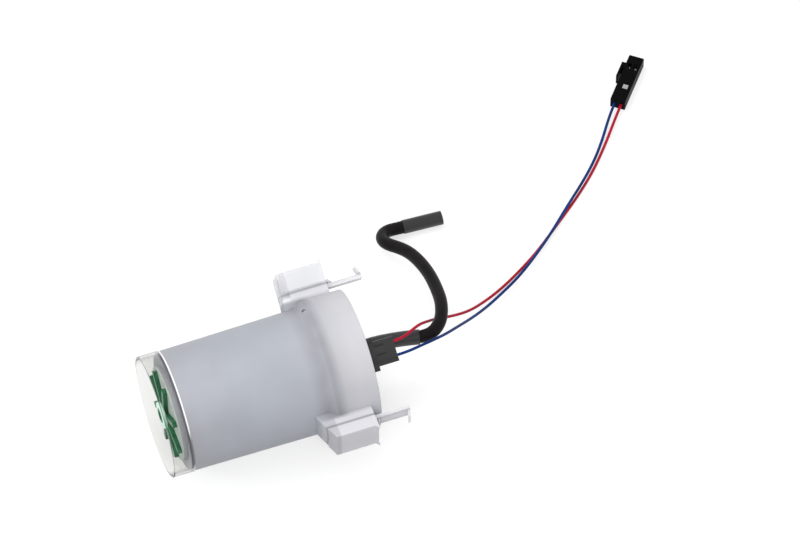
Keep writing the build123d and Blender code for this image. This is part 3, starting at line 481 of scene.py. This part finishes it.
# Valve springs: copies of the model's coils, with doubled points merged, in place of the model's springs;
# they do not shorten as their valves lift.
checkSpring = {
    "node": "check_spring",
    "piece": "check_spring_coil",
    "joint": "check_valve_lift",
    "farEnd": (0.02805, 0.0096, 0.0357),
    "kept": 0.70,
}
reliefSpring = {
    "node": "relief_spring",
    "piece": "relief_spring_coil",
    "joint": "relief_valve_lift",
    "farEnd": (0.02817, -0.0076, 0.0331),
    "kept": 0.58,
}
for spring in (checkSpring, reliefSpring):
    mesh = nodes[spring["node"]].data.copy()
    merged = bmesh.new()
    merged.from_mesh(mesh)
    bmesh.ops.remove_doubles(merged, verts=merged.verts, dist=1e-6)
    merged.to_mesh(mesh)
    merged.free()
    coil = bpy.data.objects.new(spring["piece"], mesh)
    bpy.context.scene.collection.objects.link(coil)
    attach(coil, "pot")
    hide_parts(spring["node"])
    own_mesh(coil)
print("springs done")


# Curve object of one open NURBS spline with the route's points as its control points.
def splineObject(name, route, diameter):
    data = bpy.data.curves.new(name, "CURVE")
    data.dimensions = "3D"
    spline = data.splines.new("NURBS")
    spline.points.add(len(route) - 1)
    for point, place in zip(spline.points, route):
        point.co = (*place, 1.0)
    spline.order_u = 3
    spline.use_endpoint_u = True
    spline.resolution_u = 12
    data.bevel_depth = diameter / 2
    data.bevel_resolution = 6
    obj = bpy.data.objects.new(name, data)
    bpy.context.scene.collection.objects.link(obj)
    return obj


# Points along the route's NURBS spline, and its length: the sum of the steps between them.
def centreLine(route):
    guide = splineObject("guide", route, 0.0)
    mesh = bpy.data.meshes.new_from_object(guide)
    line = np.empty(len(mesh.vertices) * 3)
    mesh.vertices.foreach_get("co", line)
    line = line.reshape(-1, 3)
    bpy.data.meshes.remove(mesh)
    data = guide.data
    bpy.data.objects.remove(guide)
    bpy.data.curves.remove(data)
    return line, float(np.linalg.norm(np.diff(line, axis=0), axis=1).sum())


# Rings round a line: p = c + s t + r (a cos u + b sin u). Here c is a point of the line, t its direction, a
# level across it and b across both. Each ring has its place on the line, its radius r and its shift s.
def tubeGrid(line, places, radii, shifts, columns):
    ahead = np.gradient(line, axis=0)
    ahead /= np.linalg.norm(ahead, axis=1, keepdims=True)
    across = np.cross(ahead, (0.0, 0.0, 1.0))
    across /= np.linalg.norm(across, axis=1, keepdims=True)
    upward = np.cross(ahead, across)
    turn = np.linspace(0, 2 * pi, columns, endpoint=False)[None, :, None]
    rings = across[places, None] * np.cos(turn) + upward[places, None] * np.sin(turn)
    centres = line[places] + ahead[places] * shifts[:, None]
    return centres[:, None] + radii[:, None, None] * rings


# Outlet hose: from the pump's nozzle out of the mouth, back and down to the table, and round a tight turn to
# its open end. Its skin, rounded lip and bore are one closed grid.
hose = {
    "nozzle": (0.0082, 0.0109, 0.112),  # below the pot's axis, behind it and along it
    "route": [
        (0.0740, 0.00960, 0.0374), (0.0900, 0.00750, 0.0377), (0.1070, 0.00330, 0.0384),
        (0.1173, 0.01090, 0.0386), (0.1236, 0.02620, 0.0360), (0.1259, 0.04270, 0.0310),
        (0.1266, 0.05920, 0.0264), (0.1249, 0.07470, 0.0220), (0.1208, 0.08920, 0.0176),
        (0.1096, 0.10430, 0.0113), (0.1145, 0.11690, 0.0054), (0.1285, 0.11670, 0.00475),
        (0.15446, 0.11521, 0.00565),
    ],
    "diameter": 0.0084,
    "bore": 0.006,
    "lipWidth": 0.0003,
    "lipDepth": 0.0004,
    "columns": 40,
}
down, back, along = hose["nozzle"]
hoseStart = tuple(potFoot + potDown * down + potBack * back + potAxis * along)
hoseLine, hoseLength = centreLine([hoseStart, *hose["route"]])
last = len(hoseLine) - 1
outwards = np.arange(last)
unshifted = np.zeros(last)
skin, bore, lip, dip = hose["diameter"] / 2, hose["bore"] / 2, hose["lipWidth"], -hose["lipDepth"]
hosePoints = tubeGrid(
    hoseLine,
    places=np.concatenate([outwards, [last] * 4, outwards[::-1]]),
    radii=np.concatenate([[skin] * last, [skin, skin - lip, bore + lip, bore], [bore] * last]),
    shifts=np.concatenate([unshifted, [dip, 0.0, 0.0, dip], unshifted]),
    columns=hose["columns"],
)
hoseTube = gridObject("outlet_hose", hosePoints, materials["hose_rubber"])
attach(hoseTube, "pot")
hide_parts("hose")
print("hose done:", round(hoseLength, 4), "m")

# Leads: from the plug down to the table and on to the connector, the blue one crossing over the red.
leadRed = {
    "name": "lead_red",
    "node": "wire_red",
    "slot": "red_wire",
    "pieces": ["connector_housing", "connector_lock", "connector_terminals"],
    "diameter": 0.0019,
    "route": [
        (0.077842, 0.00056, 0.047138), (0.0868, 0.00060, 0.0475), (0.0954, 0.00330, 0.0502),
        (0.1020, 0.00840, 0.0468), (0.1103, 0.01540, 0.0375), (0.1193, 0.02230, 0.0280),
        (0.1305, 0.02690, 0.0194), (0.1456, 0.03360, 0.0102), (0.1615, 0.04330, 0.0036),
        (0.1750, 0.05120, 0.0013), (0.1894, 0.06010, 0.0010), (0.2057, 0.07130, 0.0010),
        (0.2270, 0.08900, 0.0010), (0.2469, 0.10590, 0.0010), (0.2634, 0.12200, 0.0010),
        (0.2785, 0.13990, 0.0010), (0.2934, 0.15890, 0.0036), (0.3015, 0.16890, 0.0040),
    ],
}
leadBlue = {
    "name": "lead_blue",
    "node": "wire_blue",
    "slot": "blue_wire",
    "pieces": ["connector_housing"],
    "diameter": 0.0019,
    "route": [
        (0.078038, -0.00672, 0.041852), (0.0876, -0.00670, 0.0422), (0.0985, -0.00520, 0.0429),
        (0.1085, -0.00220, 0.0410), (0.1180, 0.00370, 0.0350), (0.1295, 0.01270, 0.0265),
        (0.1440, 0.02420, 0.0155), (0.1585, 0.03550, 0.0072), (0.1723, 0.04540, 0.0033),
        (0.1864, 0.05410, 0.0031), (0.2010, 0.06540, 0.0031), (0.2191, 0.08130, 0.0031),
        (0.2366, 0.09870, 0.0031), (0.2517, 0.11290, 0.0029), (0.2660, 0.12830, 0.0017),
        (0.2781, 0.14430, 0.0010), (0.2899, 0.16160, 0.0036), (0.2981, 0.17170, 0.0040),
    ],
}
for lead in (leadRed, leadBlue):
    wire = splineObject(lead["name"], lead["route"], lead["diameter"])
    wire.data.materials.append(materials[lead["slot"]])
    wireLength = centreLine(lead["route"])[1]
    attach(wire, "pot")
    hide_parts(lead["node"])
    print(lead["name"], "done:", round(wireLength, 4), "m")


# The largest of three ray flags: one for rays from the camera and those that gloss or clear plastic send on,
# nought for diffuse light.
def directRay(tree):
    rays = addNode(tree, "LightPath", out=None).outputs
    seenOrSentOn = addNode(tree, "Math", {"operation": "MAXIMUM"}, [
        rays["Is Camera Ray"], rays["Is Transmission Ray"],
    ])
    return addNode(tree, "Math", {"operation": "MAXIMUM"}, [seenOrSentOn, rays["Is Glossy Ray"]])


# Table: glows to white where it is seen, and keeps the shadow. To the object it is a plain grey table.
table = {"halfWidth": 6.0, "toObject": 0.37, "toCamera": 0.45, "glow": 0.62}
reach = table["halfWidth"]
floorMesh = bpy.data.meshes.new("floor")
floorCorners = [(-reach, -reach, 0), (reach, -reach, 0), (reach, reach, 0), (-reach, reach, 0)]
floorMesh.from_pydata(floorCorners, [], [(0, 1, 2, 3)])
floor = bpy.data.objects.new("floor", floorMesh)
bpy.context.scene.collection.objects.link(floor)
floorMaterial, tree = newMaterial("white_table")
plain = addNode(tree, "BsdfDiffuse", None, {"Color": (*[table["toObject"]] * 3, 1.0), "Roughness": 0.0})
shown = addNode(tree, "BsdfDiffuse", None, {"Color": (*[table["toCamera"]] * 3, 1.0), "Roughness": 0.0})
glow = addNode(tree, "Emission", None, {"Color": (1, 1, 1, 1), "Strength": table["glow"]})
white = addNode(tree, "AddShader", None, [shown, glow])
surface = addNode(tree, "MixShader", None, [directRay(tree), plain, white])
addNode(tree, "OutputMaterial", None, {"Surface": surface}, None)
floorMesh.materials.append(floorMaterial)
print("table done")

# Surroundings: white where they are seen, softer as light on the object.
studio = {"tint": (0.98, 0.99, 1.0, 1), "onObject": 0.62, "seen": 1.0}
world = bpy.data.worlds.new("studio")
bpy.context.scene.world = world
world.use_nodes = True
tree = world.node_tree
tree.nodes.clear()
seen = addNode(tree, "Background", None, {"Color": (1, 1, 1, 1), "Strength": studio["seen"]})
lit = addNode(tree, "Background", None, {"Color": studio["tint"], "Strength": studio["onObject"]})
surroundings = addNode(tree, "MixShader", None, [directRay(tree), lit, seen])
addNode(tree, "OutputWorld", None, {"Surface": surroundings}, None)

# Lamps: soft ones above and behind, above and in front, and a weak one on the inlet end. Sizes are in metres.
lamps = {
    "key": {"place": (-0.2, 0.55, 1.3), "target": (0.03, 0.0, 0.03), "size": (0.9, 0.7), "watts": 6.5},
    "front": {"place": (-0.2, -1.2, 1.25), "target": (0.03, 0.0, 0.03), "size": (0.8, 0.5), "watts": 12.5},
    "side": {"place": (-1.2, 0.1, 0.75), "target": (0.0, 0.0, 0.04), "size": (0.5, 0.5), "watts": 5.0},
}
for name, lamp in lamps.items():
    data = bpy.data.lights.new(name, "AREA")
    data.shape = "RECTANGLE"
    data.size, data.size_y = lamp["size"]
    data.energy = lamp["watts"]
    obj = bpy.data.objects.new(name, data)
    obj.location = lamp["place"]
    aim = Vector(lamp["target"]) - Vector(lamp["place"])
    obj.rotation_euler = aim.to_track_quat("-Z", "Y").to_euler()
    obj.visible_glossy = False
    obj.visible_transmission = False
    bpy.context.scene.collection.objects.link(obj)
print("lamps done:", len(lamps))

# Camera: a long lens from the front, left and above.
view = {
    "place": (-0.6661, -2.1594, 3.1155),
    "target": (0.0949, 0.026, 0.0887),
    "lens": 270,
    "sensor": 36,
    "farClip": 20,
}
cameraData = bpy.data.cameras.new("camera")
cameraData.lens = view["lens"]
cameraData.sensor_width = view["sensor"]
cameraData.sensor_fit = "HORIZONTAL"
cameraData.clip_end = view["farClip"]
camera = bpy.data.objects.new("camera", cameraData)
camera.location = view["place"]
aim = Vector(view["target"]) - camera.location
camera.rotation_euler = aim.to_track_quat("-Z", "Y").to_euler()
bpy.context.scene.collection.objects.link(camera)
bpy.context.scene.camera = camera
bpy.context.scene.view_settings.view_transform = "Standard"
print("camera done")
